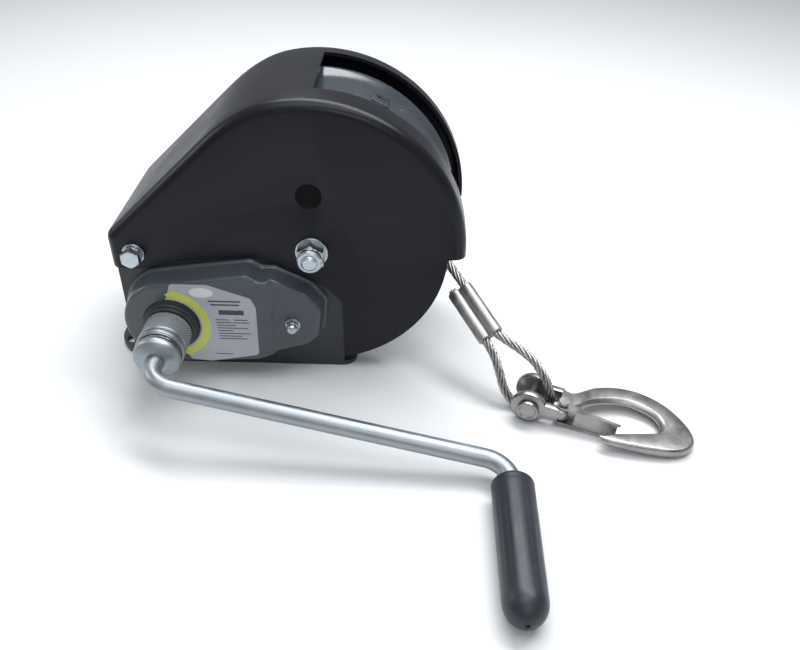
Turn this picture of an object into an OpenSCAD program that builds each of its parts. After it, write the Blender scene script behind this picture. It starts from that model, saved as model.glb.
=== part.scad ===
// Hand winch with an automatic friction brake, for hauling a boat onto its trailer.
// Millimetres, +Z up. The origin is on the underside of the base, at the centre of its bolt slots.
// +X points to the rope side. The crank is on the -Y side.

/* [Frame] */
// Length of the base plate
base_l = 198; // [196:1:204]
// Thickness of the frame's sheet steel
plate_t = 4; // [3.5:0.1:4]
// Distance between the base slots, along the base
slot_dx = 174; // [166:1:176]
// Distance between the base slots, across the base
slot_dy = 66; // [50:1:70]
// Width of a base slot
slot_w = 10.5; // [8.5:0.5:11]
// End-to-end length of a base slot
slot_l = 14; // [12:0.5:15]

/* [Drum and gears] */
// Outer radius of the drum's flanges
flange_r = 92; // [88:1:93]
// Outer radius of the drum's barrel
barrel_r = 30; // [24:1:36]
// Outer radius of the rope wound on the drum
winding_r = 80; // [60:1:80]
// Tooth size (module) of both gears
gear_module = 3; // [3:3]
// Teeth on the drum gear
drum_teeth = 66; // [66:66]
// Teeth on the pinion
pinion_teeth = 14; // [14:14]

/* [Crank] */
// Distance from the crank's axis to the grip's axis
crank_throw = 253; // [240:1:254]
// Angle of the arm below the horizontal, at rest
crank_rest = 8.75; // [8:0.05:8.75]
// Radius of the crank's round bar
rod_r = 6.6; // [6:0.1:7]
// Largest radius of the grip
grip_r = 14.6; // [13:0.1:14.8]
// Length of the grip
grip_l = 106; // [95:1:112]

/* [Rope] */
// Radius of the wire rope
rope_r = 3.5; // [3:0.1:3.5]
// Length of the pressed ferrule
ferrule_l = 47; // [40:1:47]

/* [Hidden] */
$fn = 64;

slop = 0.06;                 // radial running clearance
gap = 0.3;                   // clearance between parts that move past each other
inner_y = 52;                // inside faces of the side plates
outer_y = inner_y + plate_t; // outside faces of the side plates
cover_t = 3.2;               // wall of the moulded cover
cover_y = outer_y + cover_t; // outside faces of the cover
axle = [69, 108.4];          // drum axle, in X and Z
axle_r = 6;
tie = [-62.5, 103.5];        // tie bolt, in X and Z
tie_r = 4;
cover_r = 112.6;             // rim of the cover, about the axle
lobe_r = 99.5;               // lower lobe of the cover's walls, about the axle
guard_r = 102.8;             // outside of the rope guard

centre_distance = gear_module * (drum_teeth + pinion_teeth) / 2;
mesh_angle = 207.3;          // direction from the drum's axle to the pinion
shaft = axle + centre_distance * [cos(mesh_angle), sin(mesh_angle)];
shaft_r = 8;

// Places along the crank's axis, as distances in front of the middle plane
housing_face = 78;
hub_front = 85.6;
socket_back = 86.2;
socket_front = 112;
sleeve_front = 112.6;
cap_back = 115.6;
cap_front = 124.5;
arm_start = 146.4;
arm_end = 174.7;
grip_back = 193;

// Ratchet and pawl
ratchet_r = 31;
ratchet_root_r = 26;
ratchet_teeth = 12;
pawl_angle = -35;            // direction of the tooth that the pawl holds
pawl_pivot = [27, 30];       // from the shaft, along that tooth's face and square to it

// Clevis pin's centre, and how the hook lies
pin_at = [234, -104.5, 13.5];
hook_yaw = -16;
hook_pitch = 4.4;
pin_r = 5;
ear_r = 13.5;
latch_at = [24, -8];         // latch rivet, in the hook's own plane

black = [0.05, 0.05, 0.06];
grey = [0.24, 0.27, 0.30];
steel = [0.72, 0.74, 0.76];
dark_steel = [0.40, 0.41, 0.43];
bronze = [0.72, 0.55, 0.32];

// ---- Functions ----

function unit(v) = v / norm(v);
function arc(c, r, a0, a1, n) = [for (i = [0:n]) let (a = a0 + (a1 - a0) * i / n) c + r * [cos(a), sin(a)]];
function turn(p, a) = [p[0] * cos(a) - p[1] * sin(a), p[0] * sin(a) + p[1] * cos(a)];
function xy(p) = [p[0], p[1]];

// The corner b between a and c, rounded with radius r
function corner(a, b, c, r, n = 5) =
  r == 0 ? [b] :
  let (u = unit(a - b), v = unit(c - b), half = acos(u * v) / 2,
       m = b + unit(u + v) * r / sin(half),
       p = b + u * r / tan(half) - m, q = b + v * r / tan(half) - m,
       a0 = atan2(p[1], p[0]), da = (atan2(q[1], q[0]) - a0 + 540) % 360 - 180)
  [for (i = [0:n]) m + r * [cos(a0 + da * i / n), sin(a0 + da * i / n)]];

// A closed outline through [x, y, corner radius] points
function rounded(pts) = let (n = len(pts))
  [for (i = [0:n - 1]) each corner(xy(pts[(i + n - 1) % n]), xy(pts[i]), xy(pts[(i + 1) % n]), pts[i][2])];

// The same along an open line: rounds every point but the first and the last, and leaves those two out
function blend(pts) =
  [for (i = [1:len(pts) - 2]) each corner(xy(pts[i - 1]), xy(pts[i]), xy(pts[i + 1]), pts[i][2])];

// Smooth curve through points: Catmull-Rom, with the given number of steps to each stretch
function spline(p, steps) = let (n = len(p)) [
  for (i = [0:n - 2], s = [0:steps - 1])
    let (a = p[max(i - 1, 0)], b = p[i], c = p[i + 1], d = p[min(i + 2, n - 1)], t = s / steps)
    0.5 * (2 * b + (c - a) * t + (2 * a - 5 * b + 4 * c - d) * t * t + (3 * b - a - 3 * c + d) * t * t * t),
  p[n - 1]];

// Involute gears
function involute(r, base) = r <= base ? 0 : let (a = acos(base / r)) tan(a) - a * PI / 180;
function flank(z, r) = let (pitch = gear_module * z / 2, base = pitch * cos(20), thin = 0.16)
  90 / z + (involute(pitch, base) - involute(r, base)) * 180 / PI - thin / pitch * 180 / PI / 2;
function gear_outline(z, phase) = let (pitch = gear_module * z / 2, root = pitch - gear_module * 1.03,
    tip = pitch + gear_module * 0.8, rs = [root, (root + pitch) / 2, pitch, (pitch + tip) / 2, tip])
  [for (k = [0:z - 1]) each concat(
    [for (r = rs) let (a = phase + 360 * k / z - flank(z, r)) r * [cos(a), sin(a)]],
    [for (i = [len(rs) - 1:-1:0]) let (a = phase + 360 * k / z + flank(z, rs[i])) rs[i] * [cos(a), sin(a)]])];

// ---- Shared modules ----

// Extrudes an outline, drawn in X and Z, from y0 to y1
module slab(y0, y1) translate([0, y1, 0]) rotate([90, 0, 0]) linear_extrude(y1 - y0) children();

// A bar or tube along Y, at c in X and Z
module rod(c, r, y0, y1, bore = 0) slab(y0, y1) translate(c) difference() {
  circle(r);
  if (bore > 0) circle(bore);
}

// A turned piece along -Y, from [distance in front, radius] points
module turned(c, pts) translate([c[0], 0, c[1]]) rotate([90, 0, 0]) rotate_extrude()
  polygon([for (p = pts) [p[1], p[0]]]);

// A hexagon head along -Y, from distance d0 to d1, with the corners of its front face turned off
module hex_head(c, flats, d0, d1) {
  r = flats / 2 / cos(30);
  intersection() {
    slab(-d1, -d0) translate(c) rotate(30) circle(r, $fn = 6);
    turned(c, [[d0, 0], [d0, r + 1], [d1 - (r - flats / 2) * 0.9, r + 1], [d1, flats / 2 - 0.4], [d1, 0]]);
  }
}

// A round tube along a smooth curve
module tube(path, r, sides, side_dir) {
  n = len(path);
  rings = [for (i = [0:n - 1])
    let (t = unit(path[min(i + 1, n - 1)] - path[max(i - 1, 0)]),
      u = unit(cross(side_dir, t)), v = cross(t, u))
    each [for (k = [0:sides - 1]) let (a = 360 * k / sides) path[i] + r * (cos(a) * u + sin(a) * v)]];
  polyhedron(rings, concat(
    [[for (k = [0:sides - 1]) k]],
    [for (i = [0:n - 2], k = [0:sides - 1]) let (a = i * sides + k, b = i * sides + (k + 1) % sides)
      each [[a, b + sides, b], [a, a + sides, b + sides]]],
    [[for (k = [0:sides - 1]) n * sides - 1 - k]]));
}

module helix(c, r, wire, y0, y1, turns) {
  steps = turns * 14;
  tube([for (i = [0:steps]) let (a = 360 * i * turns / steps)
    [c[0] + r * cos(a), y0 + (y1 - y0) * i / steps, c[1] + r * sin(a)]], wire, 6, [0, 1, 0]);
}

// ---- Frame and cover ----

plate_outline = concat(
  [[-78.5, 0], [89, 0], [94.5, 100]],
  arc(axle, 26, -15, 97, 10),
  arc(tie, 15.5, 97, 180, 6));

// The base narrows to a rounded tab beyond the side plates
tab_x = -78.5;
tab_r = 30;
tab_at = [-base_l / 2 + tab_r, 22];
tab_angle = acos((tab_x - tab_at[0]) / tab_r);
base_outline = concat(
  corner([tab_x, -outer_y], [base_l / 2, -outer_y], [base_l / 2, 0], 11),
  corner([base_l / 2, 0], [base_l / 2, outer_y], [tab_x, outer_y], 11),
  [[tab_x, outer_y]],
  arc(tab_at, tab_r, tab_angle, 180, 10),
  arc([tab_at[0], -tab_at[1]], tab_r, 180, 360 - tab_angle, 10),
  [[tab_x, -outer_y]]);

module frame() color(grey) difference() {
  union() {
    linear_extrude(plate_t) polygon(base_outline);
    for (y = [-outer_y, inner_y]) slab(y, y + plate_t) polygon(plate_outline);
  }
  for (x = [-1, 1], y = [-1, 1])
    translate([x * slot_dx / 2, y * slot_dy / 2, -1]) linear_extrude(plate_t + 2) union() {
      for (e = [-1, 1]) translate([e * (slot_l - slot_w) / 2, 0]) circle(slot_w / 2);
      square([slot_l - slot_w, slot_w], center = true);
    }
  rod(axle, axle_r + 0.2, -outer_y - 1, outer_y + 1);
  rod(tie, tie_r + 0.2, -outer_y - 1, outer_y + 1);
  rod(shaft, 11, -outer_y - 1, outer_y + 1);
  rod(pawl_centre, 4, -outer_y - 1, -inner_y + 1);
  rod(stud, 3, -outer_y - 1, -inner_y + 1);
}

// The cover's rim: an arc about the axle, a flat down to a rounded corner, and a straight end
flat_angle = 133;            // direction of the flat's normal
flat_at = 109;               // distance of the flat from the axle
end_x = -81.7;
function flat_z(x, d) = axle[1] + (flat_at - d - (x - axle[0]) * cos(flat_angle)) / sin(flat_angle);

// Outline of the rim, moved inwards by d
function rim_outline(d, low) =
  let (r = cover_r - d, top = arc(axle, r, 1, flat_angle - acos((flat_at - d) / r), 40), x = end_x + d)
  concat([[axle[0] + r, low]], top, corner(top[40], [x, flat_z(x, d)], [x, 100], 9 - d / 2), [[x, low - 14]]);

// Opening in the cover's side walls, which shows the frame
window = rounded([[-110, 90, 0], [-56, 90, 10], [-32, 97, 10], [26, 103, 8], [40, 97.2, 10], [60, 87, 10],
  [76, 79, 10], [90, 64, 12], [90, 12, 0], [200, 12, 0], [200, -20, 0], [-110, -20, 0]]);

module cover_wall() difference() {
  union() {
    polygon(rim_outline(0, 103.6));
    intersection() {
      translate(axle) circle(lobe_r);
      translate([-110, -20]) square([400, 140]);
    }
  }
  polygon(window);
}

module cover() color(black) difference() {
  union() {
    slab(-cover_y, -outer_y) cover_wall();
    slab(outer_y, cover_y) cover_wall();
    slab(-cover_y, cover_y) difference() {
      polygon(rim_outline(0, 103.6));
      polygon(rim_outline(3, 80));
    }
  }
  // slot in the rim
  slab(-33, 42) polygon(concat([axle], arc(axle, 130, -8, 88, 8)));
  for (s = [-1, 1]) {
    rod(axle, axle_r + 0.3, s > 0 ? outer_y - 1 : -cover_y - 1, s > 0 ? cover_y + 1 : -outer_y + 1);
    rod(tie, tie_r + 0.3, s > 0 ? outer_y - 1 : -cover_y - 1, s > 0 ? cover_y + 1 : -outer_y + 1);
  }
  // dimple in the front wall
  rod(axle + [0, 44.5], 9.5, -cover_y - 1, -cover_y + 1.4);
}

module rope_guard() color(black) difference() {
  union() {
    slab(-38, 35) polygon(concat(arc(axle, guard_r, 12, 150, 36), arc(axle, guard_r - 3, 150, 12, 36)));
    // ribs that reach the inside of the cover's rim
    for (a = [98, 114]) slab(-30, 30) translate(axle) rotate(a) translate([guard_r - 1, -2])
      square([cover_r - 3.05 - guard_r + 1, 4]);
    // square pad
    translate([axle[0], 9, axle[1]]) rotate([0, -62, 0])
      translate([guard_r - 0.6, -7.5, -7.5]) cube([1.6, 15, 15]);
  }
  translate([axle[0], 9, axle[1]]) rotate([0, 90 - 62, 0])
    translate([0, 0, guard_r - 2]) cylinder(r = 4, h = 6);
}

// Housing over the ratchet brake: a round end about the shaft, then the corners of the rest
function housing(r, corners) = let (round_end = arc(shaft, r, 112, 268, 14))
  concat(round_end, blend(concat([round_end[14]], corners, [round_end[0]])));
housing_front = housing(36.6, [[-12, 17, 12], [26, 19.4, 10], [40, 25.6, 6], [64, 33, 8], [73.5, 42, 8],
  [76.4, 66, 8], [66, 79.6, 8], [40, 93.4, 5], [31, 92.6, 3], [22.4, 98.4, 5], [2, 95.4, 8]]);
housing_back = housing(39, [[-12, 15.4, 12], [27, 17.6, 10], [41, 24, 6], [66, 30.8, 8], [76.6, 40.6, 8],
  [79, 66.6, 8], [68.4, 81.2, 8], [41, 95.4, 5], [32, 94.8, 3], [23.4, 100.4, 5], [1.8, 97.4, 8]]);
housing_hollow = housing(33.4, [[-12, 20.4, 10], [25, 22.6, 8], [39, 29, 5], [62, 36, 6], [70, 44, 6],
  [72.6, 64, 6], [63, 76.6, 6], [38, 89.6, 4], [20, 94.6, 4], [2, 92, 6]]);
ear_x = 39;                  // where the housing steps back to its lower ear
ear_drop = 3.4;

module gear_cover() color(grey) difference() {
  union() {
    slab(-58.6, -outer_y) polygon(housing_back);
    slab(-housing_face, -58.6) polygon(housing_front);
  }
  slab(-housing_face + 3, -outer_y + 1) intersection() {
    polygon(housing_hollow);
    translate([-100, 0]) square([100 + ear_x - 3, 120]);
  }
  slab(-housing_face + 3 + ear_drop, -outer_y + 1) polygon(housing_hollow);
  slab(-housing_face - 1, -housing_face + ear_drop) translate([ear_x, 0]) square([60, 120]);
  rod(shaft, 21.2, -housing_face - 1, -outer_y);
  rod(stud, 3.2, -housing_face - 1, -outer_y);
}

module label() color([0.72, 0.72, 0.76]) slab(-housing_face - 0.3, -housing_face) difference() {
  polygon(rounded([[-34.5, 90.2, 4], [-7, 89.7, 4], [24.5, 78.6, 4], [28, 70, 3], [25.6, 24.8, 5],
    [-13, 17.8, 3], [-34.5, 70, 3]]));
  translate(shaft) circle(22);
}

// ---- Axle and tie bolt ----

module axle_bolt() color(steel) {
  mirror([0, 1, 0]) hex_head(axle, 18, cover_y + 2.5, cover_y + 10);
  rod(axle, axle_r, -76.4, cover_y + 2.5);
  translate([axle[0], -76.4, axle[1]]) rotate([90, 0, 0]) cylinder(r1 = axle_r, r2 = axle_r - 1.6, h = 1.4);
}

module axle_nut() color(steel) difference() {
  union() {
    hex_head(axle, 19, cover_y + 2.5, 71);
    turned(axle, [[71, axle_r], [71, 9.3], [74.2, 9.3], [75.4, 8], [75.4, axle_r]]);
  }
  rod(axle, axle_r + 0.02, -80, -50);
}

module axle_washers() color(steel) for (s = [-1, 1])
  rod(axle, 12, s > 0 ? cover_y : -cover_y - 2.5, s > 0 ? cover_y + 2.5 : -cover_y, axle_r + 0.2);

module axle_spacer() color(dark_steel) rod(axle, 9, -inner_y, inner_y, axle_r + 0.1);

module tie_bolt() color(steel) {
  hex_head(tie, 13, cover_y + 4.3, cover_y + 10.3);
  rod(tie, tie_r, -cover_y - 4.3, cover_y + 9.4);
}

module tie_nut() color(steel) mirror([0, 1, 0]) difference() {
  hex_head(tie, 13, cover_y + 1.6, cover_y + 8.4);
  rod(tie, tie_r + 0.02, -80, -50);
}

// Two flat washers, and a lock washer under the bolt's head
module tie_washers() color(steel) {
  for (y = [-cover_y - 1.6, cover_y]) rod(tie, 8.2, y, y + 1.6, tie_r + 0.2);
  rod(tie, 7.2, -cover_y - 4.3, -cover_y - 1.66, tie_r + 0.2);
}

module tie_spacer() color(dark_steel) rod(tie, 8, -inner_y, inner_y, tie_r + 0.2);

// ---- Drum ----

module drum() color(grey) difference() {
  union() {
    for (s = [-1, 1]) rod(axle, flange_r, s > 0 ? 36 : -40, s > 0 ? 40 : -36);
    rod(axle, barrel_r, -36, 36);
  }
  rod(axle, 12, -41, 41);
  rod(axle, barrel_r - 4, -26, 26);
  // hole for the rope's end, and two for its clamp
  rod(axle + [0, barrel_r + 5], 4, 35, 41);
  for (x = [-6, 6]) rod(axle + [x, barrel_r + 18], 2.5, 35, 41);
}

module drum_gear() color(dark_steel) slab(-50, -40) translate(axle) difference() {
  polygon(gear_outline(drum_teeth, mesh_angle));
  circle(20);
  for (a = [0:60:300]) rotate(a) translate([60, 0]) circle(13);
}

module drum_bushes() color(bronze) for (s = [-1, 1]) {
  rod(axle, 12, s > 0 ? 30 : -48.7, s > 0 ? 48.7 : -30, 9 + slop);
  rod(axle, 15, s > 0 ? 48.7 : -inner_y + gap, s > 0 ? inner_y - gap : -48.7, 9 + slop);
}

module rope_winding() color(steel) rod(axle, winding_r, -36, 36, barrel_r);

module rope_clamp() color(steel) difference() {
  slab(40, 43) translate(axle + [0, barrel_r + 12]) square([24, 26], center = true);
  rod(axle + [0, barrel_r + 5], 4, 39, 44);
  for (x = [-6, 6]) rod(axle + [x, barrel_r + 18], 2.5, 39, 44);
}

module clamp_screws() color(steel) for (x = [-6, 6]) {
  rod(axle + [x, barrel_r + 18], 2.5, 36, 43);
  rod(axle + [x, barrel_r + 18], 4.5, 43, 46.5);
}

// ---- Pinion shaft, bushes and brake ----

module shaft_bushes() color(bronze) for (s = [-1, 1]) {
  rod(shaft, 11, s > 0 ? 50 : -58, s > 0 ? 58.4 : -50, shaft_r + slop);
  rod(shaft, 14, s > 0 ? 50 : -inner_y, s > 0 ? inner_y : -50, shaft_r + slop);
}

module pinion_shaft() color(dark_steel) {
  difference() {
    rod(shaft, shaft_r, -82, 62);
    rod(shaft, shaft_r + 2, 59, 60.2, 7.2);
  }
  slab(-49.5, -40.5) translate(shaft)
    polygon(gear_outline(pinion_teeth, mesh_angle + 180 + 180 / pinion_teeth));
  rod(shaft, 12, 46, 50 - gap);
  rod(shaft, 12, -40.5, -34);
}

module shaft_circlip() color(dark_steel) slab(59.05, 60.15) translate(shaft) difference() {
  circle(10.6);
  circle(7.22);
  rotate(-90) translate([6, -2]) square([8, 4]);
}

module brake_hub() color(dark_steel) difference() {
  turned(shaft, [[58.4, shaft_r], [58.4, 28], [61.6, 28], [61.6, 12], [70.7, 12], [70.7, shaft_r]]);
  rod(shaft, shaft_r, -80, -50);
}

module friction_discs() color([0.35, 0.22, 0.14]) {
  rod(shaft, 28, -63.3, -61.6, 12.5);
  rod(shaft, 28, -70.8, -69.1, 12.5);
}

module ratchet_wheel() color(steel) slab(-68.7, -63.7) translate(shaft) difference() {
  polygon([for (k = [0:ratchet_teeth - 1]) let (a = pawl_angle + 360 * k / ratchet_teeth)
    each [ratchet_r * [cos(a - 1), sin(a - 1)], ratchet_r * [cos(a), sin(a)],
      ratchet_root_r * [cos(a), sin(a)]]]);
  circle(12 + slop);
}

pawl_centre = shaft + turn(pawl_pivot, pawl_angle);

module pawl() color(steel) slab(-68.4, -64) translate(shaft) rotate(pawl_angle) difference() {
  polygon(concat([[26.8, 0.4], [33, 0.4], [34.4, 14]], arc(pawl_pivot, 7, -5, 200, 12),
    [[31, 15], [29.2, 6]]));
  translate(pawl_pivot) circle(4 + slop);
}

module pawl_pin() color(steel) {
  rod(pawl_centre, 4, -69.2, -inner_y);
  rod(pawl_centre, 5.6, -70.4, -68.8);
  rod(pawl_centre, 5.6, -63.7, -outer_y);
}

module pawl_spring() color(steel) helix(pawl_centre, 6.6, 0.6, -57, -62.6, 3);

stud = [53.6, 53.6];

module cover_stud() color(steel) {
  rod(stud, 3, -housing_face - 3, -inner_y);
  rod(stud, 5, -housing_face + 3 + ear_drop, -outer_y);
}

module cover_nut() color(steel) difference() {
  union() {
    rod(stud, 5.6, -housing_face + 2.2, -housing_face + 3.4);
    hex_head(stud, 9, housing_face - 2.2, housing_face + 1.4);
    turned(stud, [[housing_face + 1.4, 0], [housing_face + 1.4, 4.2], [housing_face + 4, 4],
      [housing_face + 5.4, 3], [housing_face + 6, 1.4], [housing_face + 6, 0]]);
  }
  rod(stud, 3.02, -housing_face - 3, -housing_face + 8);
}

module drive_hub() color(black) {
  difference() {
    union() {
      turned(shaft, [[70.8, 0], [70.8, 28], [73.8, 28], [73.8, 20.6], [79.6, 20.6], [79.6, 19.4],
        [82.6, 19.4], [82.6, 18.2], [hub_front, 18.2], [hub_front, 0]]);
      slab(-socket_front + 0.8, -hub_front) translate(shaft) rotate(30) circle(9.5 / cos(30), $fn = 6);
    }
    rod(shaft, shaft_r + 0.05, -82, -70);
  }
}

// ---- Crank ----

// Draws in the crank's own plane: its axis is -Y, its arm points to +X
module crank_frame() translate([shaft[0], 0, shaft[1]]) rotate([0, crank_rest, 0]) children();

bend_r = 20;
arm_tilt = atan((arm_end - arm_start) / crank_throw);
bend_sweep = 90 - arm_tilt;
bend_cut = bend_r * tan(bend_sweep / 2);   // from a bend's corner to where it starts
journal_r = rod_r - 0.4;                   // end of the bar, which the grip turns on

// Centreline of the bar in plan: X along the arm, Y the distance in front
bar_line = concat([[0, cap_front - 2.6]],
  arc([bend_r, arm_start - bend_cut], bend_r, 180, 180 - bend_sweep, 9),
  arc([crank_throw - bend_r, arm_end + bend_cut], bend_r, -bend_sweep, 0, 9),
  [[crank_throw, grip_back - gap]]);

module crank_rod() color(steel) crank_frame() {
  tube([for (p = bar_line) [p[0], -p[1], 0]], rod_r, 28, [0, 0, 1]);
  translate([crank_throw, 1.2 - grip_back, 0]) rotate([90, 0, 0]) cylinder(r = journal_r, h = grip_l - 7.8);
}

module crank_socket() color(steel) difference() {
  turned(shaft, [[socket_back, 0], [socket_back, 14.6], [cap_back, 14.6], [cap_back, 16.4],
    [cap_back + 0.8, 17.1], [cap_back + 3, 17.1], [cap_back + 5.4, 16], [cap_back + 7.2, 13.2],
    [cap_front - 0.4, 10], [cap_front, 8.6], [cap_front, 0]]);
  slab(-socket_front, -socket_back + 1) translate(shaft) rotate(30) circle(9.65 / cos(30), $fn = 6);
  rod(shaft, rod_r + 0.02, -cap_front - 1, -cap_front + 3);
  for (a = ball_angles) translate([shaft[0], -ball_at, shaft[1]]) rotate([0, -a, 0]) translate([8, 0, 0])
    rotate([0, 90, 0]) cylinder(r = 2.5, h = 8);
}

ball_at = 98;
ball_angles = [0, 120, 240];

module locking_balls() color(steel) for (a = ball_angles)
  translate([shaft[0] + 12.08 * cos(a), -ball_at, shaft[1] + 12.08 * sin(a)]) sphere(r = 2.4);

module sleeve_spring() color(steel) helix(shaft, 15.7, 0.5, -105.4, -cap_back + 0.7, 4);

// Diamond-knurled sleeve, with a plain lip at the crank's end
module knurled_sleeve() color(steel) turned(shaft, [
  [socket_back, 14.85], [socket_back, 16.6], [socket_back + 0.8, 17.4], [103.6, 17.4], [104.4, 16.9],
  [105.6, 16.9], [106.2, 17.7], [110.6, 17.7], [111, 17.1], [111.6, 17.1], [112, 17.6], [sleeve_front, 17.2],
  [sleeve_front, 16.4], [101.6, 16.4], [101.6, 14.85]]);

module grip_clip() color(dark_steel) crank_frame() translate([crank_throw, -(grip_back + grip_l - 14), 0])
  rotate([90, 0, 0]) difference() {
    cylinder(r = 9, h = 1.2);
    translate([0, 0, -1]) cylinder(r = journal_r, h = 4);
  }

grip_end_r = grip_r - 0.7;     // it tapers to its rounded end

module grip() color([0.12, 0.13, 0.15]) crank_frame() translate([crank_throw, 0, 0]) rotate([90, 0, 0])
  rotate_extrude() polygon(concat(
    [[journal_r + slop, grip_back], [12.2, grip_back], [13.9, grip_back + 1], [grip_r, grip_back + 3],
     [grip_r, grip_back + 16], [grip_end_r, grip_back + grip_l - 15]],
    [for (i = [1:7]) let (a = i * 90 / 8) [grip_end_r * cos(a), grip_back + grip_l - 15 + 15 * sin(a)]],
    [[2.4, grip_back + grip_l], [1.6, grip_back + grip_l - 1.2], [0, grip_back + grip_l - 1.6],
     [0, grip_back + grip_l - 7], [9.6, grip_back + grip_l - 7], [9.6, grip_back + grip_l - 15.6],
     [journal_r + slop, grip_back + grip_l - 15.6]]));

// ---- Free rope, ferrule and hook ----

// Route of the free rope's centreline, from the winding through the ferrule, round the pin and back
rope_start = [[145, 14, 146], [152, 13, 130], [157, 9, 114], [162, 2, 99], [166, -7, 87], [170, -16, 76]];
ferrule_in = [183.5, -36, 66];
ferrule_out = [207.5, -72, 48];
ferrule_side = [-8, -2.7, -5.3];
rope_eye = [[216, -78, 45], [225, -84, 42], [235, -93, 38], [242, -102, 31], [246.5, -107, 21],
  [247.5, -108, 12], [241.5, -108, 5.5], [233, -106.5, 4], [225.5, -104, 4.2], [219, -101, 8],
  [213.5, -97.5, 16], [210, -92, 26], [206, -84, 35]];
ferrule_dir = unit(ferrule_out - ferrule_in);
rope_route = concat(rope_start,
  [ferrule_in, ferrule_in + 5 * ferrule_dir, ferrule_out - 5 * ferrule_dir, ferrule_out],
  rope_eye, [ferrule_out + ferrule_side, ferrule_out + ferrule_side - 5 * ferrule_dir,
  ferrule_in + ferrule_side + 5 * ferrule_dir, ferrule_in + ferrule_side - 6.5 * ferrule_dir]);

module free_rope() color(steel) tube(spline(rope_route, 3), rope_r, 10, [0.26, 0.966, 0]);

// Draws along the ferrule: +Z runs from its drum end to its hook end, +X to the rope's returning leg
module ferrule_frame() {
  z = ferrule_dir;
  y = unit(cross(z, ferrule_side));
  x = cross(y, z);
  multmatrix([[x[0], y[0], z[0], ferrule_in[0]], [x[1], y[1], z[1], ferrule_in[1]],
    [x[2], y[2], z[2], ferrule_in[2]], [0, 0, 0, 1]]) children();
}

module ferrule() color([0.62, 0.60, 0.57]) ferrule_frame() {
  pitch = norm(ferrule_side);
  difference() {
    linear_extrude(ferrule_l - 0.2) {
      circle(5.4);
      translate([pitch, 0]) circle(5.4);
      translate([0, -3.6]) square([pitch, 7.2]);
    }
    for (x = [0, pitch]) translate([x, 0, -1]) cylinder(r = rope_r + 0.15, h = ferrule_l + 2);
  }
}

// Draws in the hook's own frame: the pin is along Y, the hook lies along +X
module hook_frame() translate(pin_at) rotate([0, 0, hook_yaw]) rotate([0, hook_pitch, 0]) children();

hook_outline = rounded([[21.5, 13.6, 0], [25.5, 11.4, 2], [31, 11.6, 4], [41.5, 24, 10], [56, 33, 20],
  [74, 34.8, 20], [92, 30.5, 20], [106.5, 20, 14], [117, 7, 12], [120, -5, 8], [114, -17.5, 10],
  [100, -22.9, 12], [82, -25.7, 20], [60, -27.2, 2], [53, -25.2, 1], [57.5, -18.6, 4], [69, -13.6, 10],
  [83, -8.5, 10], [93, -3.5, 6], [95.5, 3, 6], [92.5, 10.5, 8], [83.5, 16, 10], [69, 19, 10],
  [53.5, 14.6, 10], [41, 7.5, 8], [36, -2, 4], [31.4, -6, 2], [30, -11.4, 3], [25, -14, 2], [21.5, -14, 0]]);
hook_low = -6;               // underside and top of the hook's shank, from the pin's axis
hook_high = 6;
bowl_half = 4;               // half the thickness of its flat bowl
shank_end = 40;

module hook() color([0.78, 0.77, 0.74]) hook_frame() difference() {
  union() {
    translate([0, 0, -bowl_half]) linear_extrude(2 * bowl_half) polygon(hook_outline);
    translate([0, 0, hook_low]) linear_extrude(hook_high - hook_low) intersection() {
      polygon(hook_outline);
      translate([0, -20]) square([shank_end, 50]);
    }
    // clevis: two ears and the crown that joins them
    for (s = [-1, 1]) slab(s > 0 ? 7.6 : -13.6, s > 0 ? 13.6 : -7.6) circle(ear_r - 0.2);
    for (s = [-1, 1]) translate([0, s > 0 ? 7.6 : -13.6, hook_low]) cube([22, 6, hook_high - hook_low]);
  }
  rod([0, 0], pin_r + 0.1, -20, 20);
  translate([latch_at[0], latch_at[1], -20]) cylinder(r = 2.05, h = 40);
}

module clevis_pin() color(steel) hook_frame() {
  rod([0, 0], pin_r, -14, 15.6);
  turned([0, 0], [[13.9, 0], [13.9, 8.2], [16.6, 8.2], [17.6, 7.2], [17.6, 0]]);
}

module pin_clip() color(steel) hook_frame() rod([0, 0], 7.2, 14, 15.2, pin_r);

module latch_rivet() color(steel) hook_frame() translate([latch_at[0], latch_at[1], 0]) {
  translate([0, 0, hook_low - 1.6]) cylinder(r = 2, h = hook_high - hook_low + 6);
  translate([0, 0, hook_high + 4.2]) cylinder(r = 3.8, h = 1.5);
  translate([0, 0, hook_low - 3]) cylinder(r = 3.8, h = 1.4);
}

// Sheet latch, folded to a channel that straddles the hook
latch_flange = rounded([[-4.4, 3.4, 2], [-4.4, -3.4, 2], [6, -4.4, 2], [42, -6.2, 0.5], [43, -4.8, 0.5],
  [20, -1.2, 3], [6, 3.6, 3]]);
latch_web = [[10, -4.2], [40.5, -5.8], [40.5, -4.7], [10, -3]];

module latch() color(steel) hook_frame() translate([latch_at[0], latch_at[1], 0]) difference() {
  union() {
    for (z = [hook_low - 1.5, hook_high + 0.2])
      translate([0, 0, z]) linear_extrude(1.3) polygon(latch_flange);
    translate([0, 0, hook_low - 1]) linear_extrude(hook_high - hook_low + 2) polygon(latch_web);
  }
  translate([0, 0, -20]) cylinder(r = 2 + slop, h = 40);
}

module latch_spring() color(steel) hook_frame() rotate([90, 0, 0])
  helix([latch_at[0], -latch_at[1]], 3, 0.3, hook_high + 2.2, hook_high + 3.6, 2);

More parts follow.
